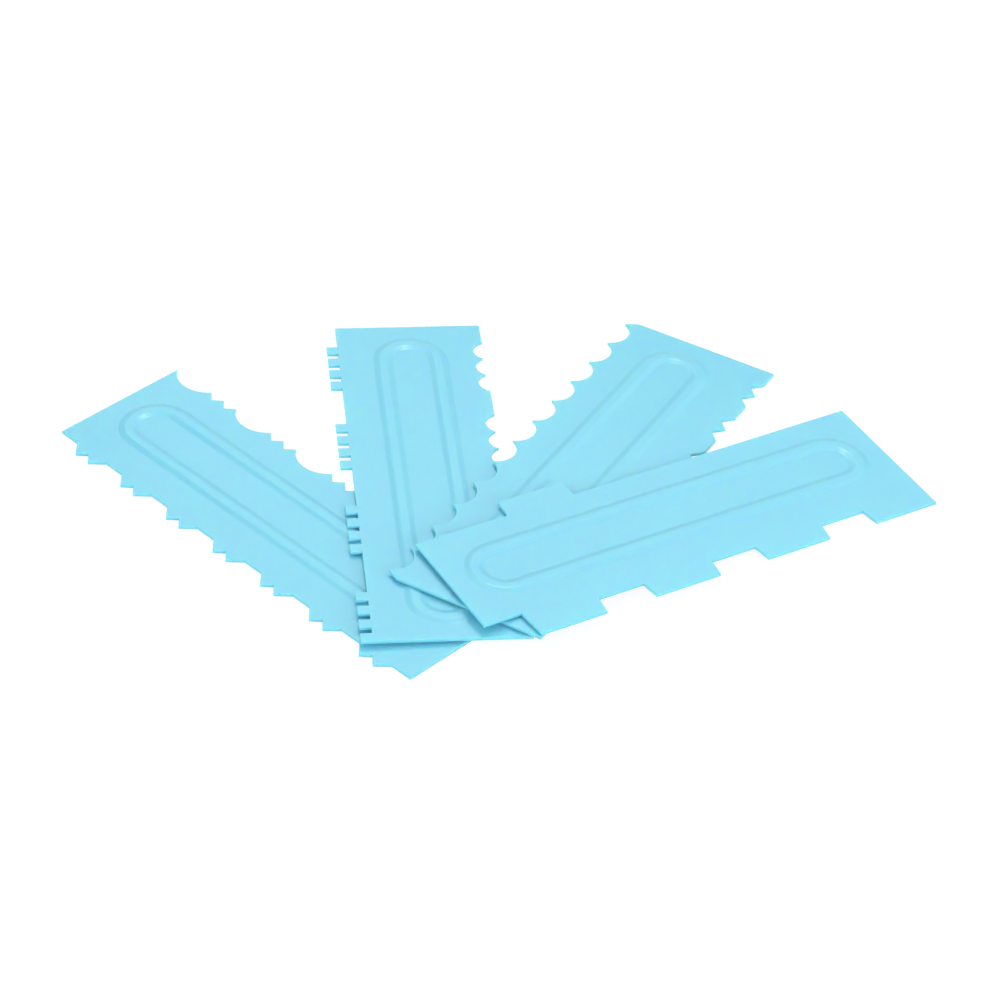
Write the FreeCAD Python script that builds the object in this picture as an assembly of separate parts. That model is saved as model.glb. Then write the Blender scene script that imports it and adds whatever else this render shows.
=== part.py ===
"""A set of four moulded plastic icing combs, fanned out and lying on one another at their near ends."""
import FreeCAD, Part
import math
import os

# Blank shared by the four combs, lengths in mm and angles in degrees
comb_length = 230.0
plate_thickness = 1.4
edge_break = 0.3

# Raised stadium-shaped bead on the upper face, placed by the middle line of its crest
bead_spacing = 26.3
bead_end_gap = 14.4
bead_width = 9.6
bead_crest_width = 2.8
bead_height = 0.8

# Double tooth comb: pairs of pointed teeth on the left, wide scallops and pairs of small notches on the right
double_left_reach = 40.0
double_right_reach = 36.3
double_tooth_pairs = 7
double_end_flat = 11.1
double_tooth_height = 6.0
double_valley_depth = 4.0
double_tooth_rise = 5.9
double_tip_spacing = 8.6
wide_scallops = 6
wide_scallop_depth = 6.0
small_notch_length = 8.5
small_notch_depth = 3.9

# Square tooth comb: groups of square teeth on the left, groups of scallops on the right
square_left_reach = 39.0
square_right_reach = 35.6
square_groups = 4
square_teeth_in_group = 4
square_first_flat = 15.3
square_tooth_width = 5.75
square_tooth_gap = 3.4
square_tooth_height = 5.2
trio_groups = 4
trio_scallops = 3
trio_first_flat = 14.0
trio_last_flat = 5.5
trio_scallop_length = 12.9
trio_scallop_depth = 4.8
trio_cusp_depth = 0.8

# Scallop comb: one run of scallops on the left, pairs of V notches on the right
scallop_left_reach = 37.6
scallop_right_reach = 40.7
scallops = 12
scallop_end_bevel = 3.4
scallop_depth = 5.9
vee_pairs = 7
vee_end_flat = 10.5
vee_length = 10.05
vee_depth = 4.7

# Step comb: wide notches and a deeper end notch on the right, one wide tab on the left
step_left_reach = 40.4
step_right_reach = 45.1
step_notches = 3
step_notch_length = 25.5
step_notch_depth = 9.2
step_end_notch_length = 19.9
step_end_notch_depth = 15.0
step_side_slant = 1.3
step_tab_height = 9.8
step_tab_setback = 48.0
step_tab_slant = 0.75

# Place in the fan of each bead's middle, and the heading of its far end from +X
double_place = (-95.2, -26.9)
double_heading = 137.2
square_place = (-33.7, 7.0)
square_heading = 98.1
scallop_place = (37.8, 16.0)
scallop_heading = 62.5
step_place = (77.2, -15.1)
step_heading = 32.3

# Lie of the stack: the gap left where one comb bears on another, and how finely bearing points are taken
stack_clearance = 0.1
bearing_spacing = 2.0
bearing_tolerance = 0.001
settle_passes = 3


def double_teeth():
    """Left edge of the double tooth comb, as (distance from the far end, depth) steps."""
    group = 2 * double_tooth_rise + double_tip_spacing
    pitch = (comb_length - 2 * double_end_flat - group) / (double_tooth_pairs - 1)
    steps = [(0, double_tooth_height)]
    for number in range(double_tooth_pairs):
        start = double_end_flat + number * pitch
        first_tip = start + double_tooth_rise
        steps.append((start, double_tooth_height))
        steps.append((first_tip, 0))
        steps.append((first_tip + double_tip_spacing / 2, double_valley_depth))
        steps.append((first_tip + double_tip_spacing, 0))
        steps.append((start + group, double_tooth_height))
    steps.append((comb_length, double_tooth_height))
    return steps


def scallops_and_notches():
    """Right edge of the double tooth comb. A step of four numbers is an arc through its first pair."""
    between = 2 * small_notch_length
    length = (comb_length - (wide_scallops - 1) * between) / wide_scallops
    steps = [(0, 0)]
    for number in range(wide_scallops):
        start = number * (length + between)
        end = start + length
        steps.append((start + length / 2, wide_scallop_depth, end, 0))
        if number == wide_scallops - 1:
            break
        for notch in range(2):
            tip = end + notch * small_notch_length
            steps.append((tip + small_notch_length / 2, small_notch_depth))
            steps.append((tip + small_notch_length, 0))
    return steps


def square_teeth():
    """Left edge of the square tooth comb; its last tooth ends flush with the near end."""
    tooth_pitch = square_tooth_width + square_tooth_gap
    group = square_teeth_in_group * tooth_pitch - square_tooth_gap
    group_pitch = (comb_length - square_first_flat - group) / (square_groups - 1)
    steps = [(0, square_tooth_height)]
    for number in range(square_groups):
        for tooth in range(square_teeth_in_group):
            start = square_first_flat + number * group_pitch + tooth * tooth_pitch
            end = start + square_tooth_width
            steps.append((start, square_tooth_height))
            steps.append((start, 0))
            steps.append((end, 0))
            steps.append((end, square_tooth_height))
    steps.pop()
    return steps


def scallop_trios():
    """Right edge of the square tooth comb, with cusps a little below the flats."""
    group = trio_scallops * trio_scallop_length
    pitch = (comb_length - trio_first_flat - trio_last_flat - group) / (trio_groups - 1)
    steps = [(0, 0)]
    for number in range(trio_groups):
        start = trio_first_flat + number * pitch
        steps.append((start, 0))
        for scallop in range(trio_scallops):
            end = start + trio_scallop_length
            end_depth = 0 if scallop == trio_scallops - 1 else trio_cusp_depth
            steps.append((start + trio_scallop_length / 2, trio_scallop_depth, end, end_depth))
            start = end
    steps.append((comb_length, 0))
    return steps


def scallop_run():
    """Left edge of the scallop comb, with a bevelled corner at each end."""
    length = (comb_length - 2 * scallop_end_bevel) / scallops
    steps = [(0, scallop_depth), (scallop_end_bevel, 0)]
    for number in range(scallops):
        start = scallop_end_bevel + number * length
        steps.append((start + length / 2, scallop_depth, start + length, 0))
    steps.append((comb_length, scallop_depth))
    return steps


def vee_notches():
    """Right edge of the scallop comb."""
    group = 2 * vee_length
    pitch = (comb_length - 2 * vee_end_flat - group) / (vee_pairs - 1)
    steps = [(0, 0)]
    for number in range(vee_pairs):
        start = vee_end_flat + number * pitch
        steps.append((start, 0))
        for notch in range(2):
            tip = start + notch * vee_length
            steps.append((tip + vee_length / 2, vee_depth))
            steps.append((tip + vee_length, 0))
    steps.append((comb_length, 0))
    return steps


def step_tab_length():
    """Length of each tab of the step comb, between the notches."""
    notches = step_notches * step_notch_length + step_end_notch_length
    return (comb_length - notches) / (step_notches + 1)


def step_notch_run():
    """Right edge of the step comb."""
    tab = step_tab_length()
    steps = [(0, 0)]
    end = tab
    for number in range(step_notches):
        steps.append((end, 0))
        steps.append((end + step_side_slant, step_notch_depth))
        steps.append((end + step_notch_length - step_side_slant, step_notch_depth))
        steps.append((end + step_notch_length, 0))
        end += step_notch_length + tab
    steps.append((end, 0))
    steps.append((end + step_side_slant, step_end_notch_depth))
    steps.append((comb_length, step_end_notch_depth))
    return steps


def single_tab():
    """Left edge of the step comb."""
    end = comb_length - step_tab_setback
    start = end - step_tab_length()
    return [
        (0, step_tab_height),
        (start - step_tab_slant, step_tab_height),
        (start, 0),
        (end, 0),
        (end + step_tab_slant, step_tab_height),
        (comb_length, step_tab_height),
    ]


def edge_path(steps, side, reach):
    """Edges along one long side. The far end is at +X, the left side is +1 and depth runs inwards."""
    def point(distance, depth):
        return FreeCAD.Vector(comb_length / 2 - distance, side * (reach - depth), 0)

    here = point(*steps[0])
    edges = []
    for step in steps[1:]:
        there = point(*step[-2:])
        if len(step) > 2:
            edges.append(Part.Arc(here, point(*step[:2]), there).toShape())
        else:
            edges.append(Part.LineSegment(here, there).toShape())
        here = there
    return edges, point(*steps[0]), here


def outline(left_steps, left_reach, right_steps, right_reach):
    """Closed outline of a comb on its underside."""
    left, left_far, left_near = edge_path(left_steps, 1, left_reach)
    right, right_far, right_near = edge_path(right_steps, -1, right_reach)
    near_end = Part.LineSegment(left_near, right_near).toShape()
    far_end = Part.LineSegment(right_far, left_far).toShape()
    return Part.Wire(left + [near_end] + right[::-1] + [far_end])


def bead_rise(offset):
    """Height of the bead above the plate at a distance from its middle line: a smooth step up to a flat crest."""
    flank = (bead_width - bead_crest_width) / 2
    climb = (bead_width / 2 - offset) / flank
    climb = min(max(climb, 0), 1)
    return bead_height * climb ** 2 * (3 - 2 * climb)


def bead_half_straight():
    """Half the length of the bead's straight sides."""
    return comb_length / 2 - bead_end_gap - bead_spacing / 2


def bead_offset(x, y):
    """Distance in plan from the bead's middle line."""
    beyond = max(abs(x) - bead_half_straight(), 0)
    return abs(math.hypot(beyond, y) - bead_spacing / 2)


def bead_section():
    """Section of the bead across its straight side, standing in the plate's full thickness."""
    def point(offset, height):
        return FreeCAD.Vector(0, bead_spacing / 2 + offset, height)

    half = bead_width / 2
    crest = bead_crest_width / 2
    third = (half - crest) / 3
    top = plate_thickness + bead_height
    edges = [
        Part.LineSegment(point(-half, 0), point(half, 0)).toShape(),
        Part.LineSegment(point(-crest, top), point(crest, top)).toShape(),
    ]
    for side in (-1, 1):
        flank = Part.BezierCurve()
        flank.setPoles([
            point(side * half, plate_thickness),
            point(side * (half - third), plate_thickness),
            point(side * (crest + third), top),
            point(side * crest, top),
        ])
        edges.append(flank.toShape())
        edges.append(Part.LineSegment(point(side * half, plate_thickness), point(side * half, 0)).toShape())
    return Part.Face(Part.Wire(Part.__sortEdges__(edges)))


def bead():
    """The whole bead: two straight sides joined by half turns."""
    half = bead_half_straight()
    up = FreeCAD.Vector(0, 0, 1)
    section = bead_section()
    side = section.extrude(FreeCAD.Vector(2 * half, 0, 0))
    side.translate(FreeCAD.Vector(-half, 0, 0))
    turn = section.revolve(FreeCAD.Vector(0, 0, 0), up, 180)
    turn.translate(FreeCAD.Vector(-half, 0, 0))
    pieces = []
    for angle in (0, 180):
        for piece in (side, turn):
            copy = piece.copy()
            copy.rotate(FreeCAD.Vector(0, 0, 0), up, angle)
            pieces.append(copy)
    return pieces[0].fuse(pieces[1:]).removeSplitter()


def moulded_comb(wire):
    """A comb in its own frame, underside at z = 0 and bead's middle at the origin. Its upper rim is broken."""
    plate = Part.Face(wire).extrude(FreeCAD.Vector(0, 0, plate_thickness))
    rim = [edge for edge in plate.Edges if edge.BoundBox.ZMin > plate_thickness / 2]
    plate = plate.makeChamfer(edge_break, rim)
    return plate.fuse(bead()).removeSplitter()


def bearing_points(wire):
    """Points round an outline where it can bear on what lies below or carry what lies above."""
    return [vertex.Point for vertex in wire.Vertexes] + wire.discretize(Distance=bearing_spacing)


def crest_points():
    """Points along both rims of the bead's crest."""
    half = bead_half_straight()
    points = []
    for offset in (-bead_crest_width / 2, bead_crest_width / 2):
        radius = bead_spacing / 2 + offset
        start = FreeCAD.Vector(half, radius, 0)
        end = FreeCAD.Vector(half, -radius, 0)
        line = Part.LineSegment(FreeCAD.Vector(-half, radius, 0), start).toShape()
        for point in line.discretize(Distance=bearing_spacing):
            points += [point, FreeCAD.Vector(point.x, -radius, 0)]
        turn = Part.Arc(start, FreeCAD.Vector(half + radius, 0, 0), end).toShape()
        for point in turn.discretize(Distance=bearing_spacing):
            points += [point, FreeCAD.Vector(-point.x, point.y, 0)]
    return points


def raised(point, height):
    """The point moved up by a height."""
    return point + FreeCAD.Vector(0, 0, height)


def plane_height(seat, point):
    """Height, at a point in plan, of the plane through three points."""
    first, second, third = seat
    normal = (second - first).cross(third - first)
    return first.z - (normal.x * (point.x - first.x) + normal.y * (point.y - first.y)) / normal.z


def surrounds(seat, middle):
    """Whether three points surround the middle in plan."""
    turns = []
    for start, end in zip(seat, seat[1:] + seat[:1]):
        turns.append((end.x - start.x) * (middle.y - start.y) - (end.y - start.y) * (middle.x - start.x))
    return min(turns) >= 0 or max(turns) <= 0


def lowest_seat(points, middle):
    """The three points that carry a flat plate let down on all the points, with its weight over the middle."""
    seat = []
    for angle in (90, 210, 330):
        turn = math.radians(angle)
        far = FreeCAD.Vector(math.cos(turn), math.sin(turn), -1) * 2 * comb_length
        seat.append(middle + far)
    while True:
        highest = max(points, key=lambda point: point.z - plane_height(seat, point))
        if highest.z - plane_height(seat, highest) < bearing_tolerance:
            return seat
        swaps = [seat[:number] + [highest] + seat[number + 1:] for number in range(3)]
        seat = next(swap for swap in swaps if surrounds(swap, middle))


def lie(seat, place, heading):
    """Placement of a comb whose underside is on the seat's plane."""
    first, second, third = seat
    normal = (second - first).cross(third - first)
    if normal.z < 0:
        normal = -normal
    turn = math.radians(heading)
    spot = FreeCAD.Vector(place[0], place[1], 0)
    ahead = spot + FreeCAD.Vector(math.cos(turn), math.sin(turn), 0)
    spot.z = plane_height(seat, spot)
    ahead.z = plane_height(seat, ahead)
    along = ahead - spot
    return FreeCAD.Placement(spot, FreeCAD.Rotation(along, normal.cross(along), normal, "ZXY"))


def in_plan(face, placement, point):
    """The point in a comb's own frame, or nothing if it lies outside the comb's outline."""
    own = placement.inverse().multVec(point)
    own.z = 0
    return own if face.isInside(own, bearing_tolerance, True) else None


def bearings(wire, placement, laid):
    """Every point that the underside of a comb has to clear: the floor, and the combs already laid."""
    face = Part.Face(wire)
    own_points = [placement.multVec(point) for point in bearing_points(wire)]
    found = [FreeCAD.Vector(point.x, point.y, 0) for point in own_points]
    for lower_wire, lower_placement in laid:
        lower_face = Part.Face(lower_wire)
        for point in own_points:
            spot = in_plan(lower_face, lower_placement, point)
            if spot:
                rise = bead_rise(bead_offset(spot.x, spot.y))
                top = lower_placement.multVec(raised(spot, plate_thickness + rise))
                found.append(raised(top, stack_clearance))
        tops = [raised(point, plate_thickness) for point in bearing_points(lower_wire)]
        tops += [raised(point, plate_thickness + bead_height) for point in crest_points()]
        for point in tops:
            top = lower_placement.multVec(point)
            if in_plan(face, placement, top):
                found.append(raised(top, stack_clearance))
    return found


def settle(wire, place, heading, laid):
    """Placement of a comb let down flat on the floor and on the combs already laid."""
    spot = FreeCAD.Vector(place[0], place[1], 0)
    placement = FreeCAD.Placement(spot, FreeCAD.Rotation(FreeCAD.Vector(0, 0, 1), heading))
    for number in range(settle_passes):
        middle = placement.multVec(Part.Face(wire).CenterOfMass)
        middle.z = 0
        placement = lie(lowest_seat(bearings(wire, placement, laid), middle), place, heading)
    return placement


combs = {
    "double_tooth_comb": (
        outline(double_teeth(), double_left_reach, scallops_and_notches(), double_right_reach),
        double_place,
        double_heading,
    ),
    "square_tooth_comb": (
        outline(square_teeth(), square_left_reach, scallop_trios(), square_right_reach),
        square_place,
        square_heading,
    ),
    "scallop_comb": (
        outline(scallop_run(), scallop_left_reach, vee_notches(), scallop_right_reach),
        scallop_place,
        scallop_heading,
    ),
    "step_comb": (
        outline(single_tab(), step_left_reach, step_notch_run(), step_right_reach),
        step_place,
        step_heading,
    ),
}

# The combs are laid from the lowest up, then the whole fan is centred over the origin
laid = []
shapes = {}
for name, (wire, place, heading) in combs.items():
    placement = settle(wire, place, heading, laid)
    laid.append((wire, placement))
    shape = moulded_comb(wire)
    shape.Placement = placement
    shapes[name] = shape

box = Part.makeCompound(list(shapes.values())).optimalBoundingBox()
centring = FreeCAD.Vector(-box.Center.x, -box.Center.y, -box.ZMin)
os.makedirs("parts", exist_ok=True)
lower = None
for name, shape in shapes.items():
    shape.translate(centring)
    shape.exportStep("parts/" + name + ".step")
    gap = shape.distToShape(lower)[0] if lower else shape.BoundBox.ZMin
    print(name, "valid", shape.isValid(), "solids", len(shape.Solids), "volume", round(shape.Volume), "gap", gap)
    lower = shape
print("centring", centring, "size", box.XLength, box.YLength, box.ZLength)
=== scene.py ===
"""Looks of the icing comb set: aqua plastic, soft studio light and the photograph's camera."""

import math

import bpy
from mathutils import Matrix, Vector

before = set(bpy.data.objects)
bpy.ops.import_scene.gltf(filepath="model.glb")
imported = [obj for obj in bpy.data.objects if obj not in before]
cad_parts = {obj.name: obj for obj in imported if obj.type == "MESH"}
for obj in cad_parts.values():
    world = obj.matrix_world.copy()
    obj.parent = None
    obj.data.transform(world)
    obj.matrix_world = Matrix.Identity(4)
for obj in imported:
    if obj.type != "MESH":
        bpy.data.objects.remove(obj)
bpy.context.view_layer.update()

# Camera: place in metres, angles in degrees, pixels of the square frame, sensor in millimetres
camera_place = Vector((0.0021, -1.2133, 0.9742))
camera_elevation = 38.92
camera_roll = 3.04
focal_pixels = 3428.5
frame_pixels = 1000
sensor_width = 36.0

# Aqua plastic: lengths in metres, scatter as red, green and blue shares of its length
plastic_pale = (0.223, 0.682, 0.842, 1)
plastic_deep = (0.213, 0.672, 0.832, 1)
plastic_scatter = (0.1, 1.0, 0.45)
plastic_scatter_length = 0.0025
plastic_scatter_weight = 1.0
plastic_index = 1.49
plastic_roughness_least = 0.15
plastic_roughness_most = 0.20
plastic_cloud_scale = 14.0
plastic_cloud_detail = 3
plastic_grain_scale = 900.0
plastic_grain_detail = 2
plastic_grain_height = 0.00002
plastic_swell_scale = 30.0
plastic_swell_detail = 1
plastic_swell_height = 0.00012

# Floor, in metres: the camera sees this share of its lit surface, and the rest is its own glow
floor_half_width = 6.0
floor_drop = 0.0002
floor_white = (0.9, 0.9, 0.9, 1)
floor_shading_share = 0.2
floor_glow = 1.1

# Light: places and sizes in metres, powers in watts
light_white = (1, 1, 1, 1)
world_strength = 0.56
backdrop_strength = 1.0
panel_place = Vector((0.28, 0.95, 1.62))
panel_width = 1.9
panel_height = 1.7
panel_power = 12.3
fill_place = Vector((-1.3, -1.4, 0.8))
fill_width = 2.0
fill_height = 1.2
fill_power = 14.5
side_place = Vector((1.6, -1.3, 0.65))
side_width = 1.4
side_height = 0.6
side_power = 17.0
key_place = Vector((0.1, 1.0, 1.5))
key_width = 0.2
key_height = 0.2
key_power = 1.4


def link(tree, source, target):
    """Joins an output socket to an input socket."""
    tree.links.new(source, target)


def seen_by_eye(tree):
    """1 for rays from the camera, a mirror or through glass, else 0."""
    path = tree.nodes.new("ShaderNodeLightPath")
    total = path.outputs["Is Camera Ray"]
    for name in ("Is Glossy Ray", "Is Transmission Ray"):
        larger = tree.nodes.new("ShaderNodeMath")
        larger.operation = "MAXIMUM"
        link(tree, total, larger.inputs[0])
        link(tree, path.outputs[name], larger.inputs[1])
        total = larger.outputs[0]
    return total


def noise(tree, coordinates, scale, detail):
    """Noise value in the object's own space."""
    node = tree.nodes.new("ShaderNodeTexNoise")
    node.inputs["Scale"].default_value = scale
    node.inputs["Detail"].default_value = detail
    link(tree, coordinates, node.inputs["Vector"])
    return node.outputs["Fac"]


def bump(tree, height, distance, before=None):
    """Bump of a height field, on top of an earlier bump."""
    node = tree.nodes.new("ShaderNodeBump")
    node.inputs["Distance"].default_value = distance
    link(tree, height, node.inputs["Height"])
    if before:
        link(tree, before, node.inputs["Normal"])
    return node.outputs["Normal"]


def comb_plastic():
    """Slightly translucent plastic with a satin gloss, faint clouding and a fine moulded grain."""
    material = bpy.data.materials.new("comb_plastic")
    material.use_nodes = True
    tree = material.node_tree
    shader = tree.nodes["Principled BSDF"]
    coordinates = tree.nodes.new("ShaderNodeTexCoord").outputs["Object"]
    cloud = noise(tree, coordinates, plastic_cloud_scale, plastic_cloud_detail)
    tint = tree.nodes.new("ShaderNodeMix")
    tint.data_type = "RGBA"
    tint.inputs["A"].default_value = plastic_pale
    tint.inputs["B"].default_value = plastic_deep
    link(tree, cloud, tint.inputs["Factor"])
    link(tree, tint.outputs["Result"], shader.inputs["Base Color"])
    roughness = tree.nodes.new("ShaderNodeMapRange")
    roughness.inputs["To Min"].default_value = plastic_roughness_least
    roughness.inputs["To Max"].default_value = plastic_roughness_most
    link(tree, cloud, roughness.inputs["Value"])
    link(tree, roughness.outputs["Result"], shader.inputs["Roughness"])
    swell = noise(tree, coordinates, plastic_swell_scale, plastic_swell_detail)
    swelled = bump(tree, swell, plastic_swell_height)
    grain = noise(tree, coordinates, plastic_grain_scale, plastic_grain_detail)
    grained = bump(tree, grain, plastic_grain_height, swelled)
    link(tree, grained, shader.inputs["Normal"])
    shader.inputs["IOR"].default_value = plastic_index
    shader.inputs["Subsurface Weight"].default_value = plastic_scatter_weight
    shader.inputs["Subsurface Radius"].default_value = plastic_scatter
    shader.inputs["Subsurface Scale"].default_value = plastic_scatter_length
    return material


def dress_combs():
    """Gives every comb the plastic."""
    material = comb_plastic()
    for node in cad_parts.values():
        node.data.materials.clear()
        node.data.materials.append(material)


def floor_material():
    """White floor that keeps the object's shadow and shows as white."""
    material = bpy.data.materials.new("floor_white")
    material.use_nodes = True
    tree = material.node_tree
    tree.nodes.clear()
    plain = tree.nodes.new("ShaderNodeBsdfDiffuse")
    plain.inputs["Color"].default_value = floor_white
    glow = tree.nodes.new("ShaderNodeEmission")
    glow.inputs["Strength"].default_value = floor_glow
    share = tree.nodes.new("ShaderNodeMath")
    share.operation = "MULTIPLY"
    share.inputs[1].default_value = 1 - floor_shading_share
    link(tree, seen_by_eye(tree), share.inputs[0])
    mix = tree.nodes.new("ShaderNodeMixShader")
    link(tree, share.outputs[0], mix.inputs["Fac"])
    link(tree, plain.outputs[0], mix.inputs[1])
    link(tree, glow.outputs[0], mix.inputs[2])
    output = tree.nodes.new("ShaderNodeOutputMaterial")
    link(tree, mix.outputs[0], output.inputs["Surface"])
    return material


def make_floor():
    """The plain surface that the combs lie on."""
    half = floor_half_width
    signs = ((-1, -1), (1, -1), (1, 1), (-1, 1))
    corners = [(half * x, half * y, -floor_drop) for x, y in signs]
    mesh = bpy.data.meshes.new("floor")
    mesh.from_pydata(corners, [], [(0, 1, 2, 3)])
    mesh.materials.append(floor_material())
    floor = bpy.data.objects.new("floor", mesh)
    bpy.context.scene.collection.objects.link(floor)


def make_world():
    """Even light from all round, and a white backdrop where the surroundings are seen or mirrored."""
    world = bpy.data.worlds.new("studio")
    bpy.context.scene.world = world
    world.use_nodes = True
    tree = world.node_tree
    light = tree.nodes["Background"]
    light.inputs["Color"].default_value = light_white
    light.inputs["Strength"].default_value = world_strength
    backdrop = tree.nodes.new("ShaderNodeBackground")
    backdrop.inputs["Color"].default_value = light_white
    backdrop.inputs["Strength"].default_value = backdrop_strength
    mix = tree.nodes.new("ShaderNodeMixShader")
    link(tree, seen_by_eye(tree), mix.inputs["Fac"])
    link(tree, light.outputs[0], mix.inputs[1])
    link(tree, backdrop.outputs[0], mix.inputs[2])
    link(tree, mix.outputs[0], tree.nodes["World Output"].inputs["Surface"])


def make_lamp(name, place, width, height, power):
    """Soft rectangular lamp that faces the combs."""
    light = bpy.data.lights.new(name, "AREA")
    light.shape = "RECTANGLE"
    light.size = width
    light.size_y = height
    light.energy = power
    lamp = bpy.data.objects.new(name, light)
    lamp.location = place
    lamp.rotation_mode = "QUATERNION"
    lamp.rotation_quaternion = (-place).to_track_quat("-Z", "Y")
    bpy.context.scene.collection.objects.link(lamp)


def make_camera():
    """Camera looking along +Y and down at the combs, with a slight roll."""
    elevation = math.radians(camera_elevation)
    roll = math.radians(camera_roll)
    forward = Vector((0, math.cos(elevation), -math.sin(elevation)))
    level_up = Vector((0, math.sin(elevation), math.cos(elevation)))
    level_right = Vector((1, 0, 0))
    right = math.cos(roll) * level_right + math.sin(roll) * level_up
    up = math.cos(roll) * level_up - math.sin(roll) * level_right
    data = bpy.data.cameras.new("camera")
    data.sensor_width = sensor_width
    data.lens = focal_pixels / frame_pixels * sensor_width
    camera = bpy.data.objects.new("camera", data)
    turn = Matrix((right, up, -forward)).transposed().to_4x4()
    camera.matrix_world = Matrix.Translation(camera_place) @ turn
    bpy.context.scene.collection.objects.link(camera)
    bpy.context.scene.camera = camera


dress_combs()
make_floor()
make_world()
make_lamp("panel", panel_place, panel_width, panel_height, panel_power)
make_lamp("fill", fill_place, fill_width, fill_height, fill_power)
make_lamp("side", side_place, side_width, side_height, side_power)
make_lamp("key", key_place, key_width, key_height, key_power)
make_camera()
bpy.context.scene.view_settings.view_transform = "Standard"
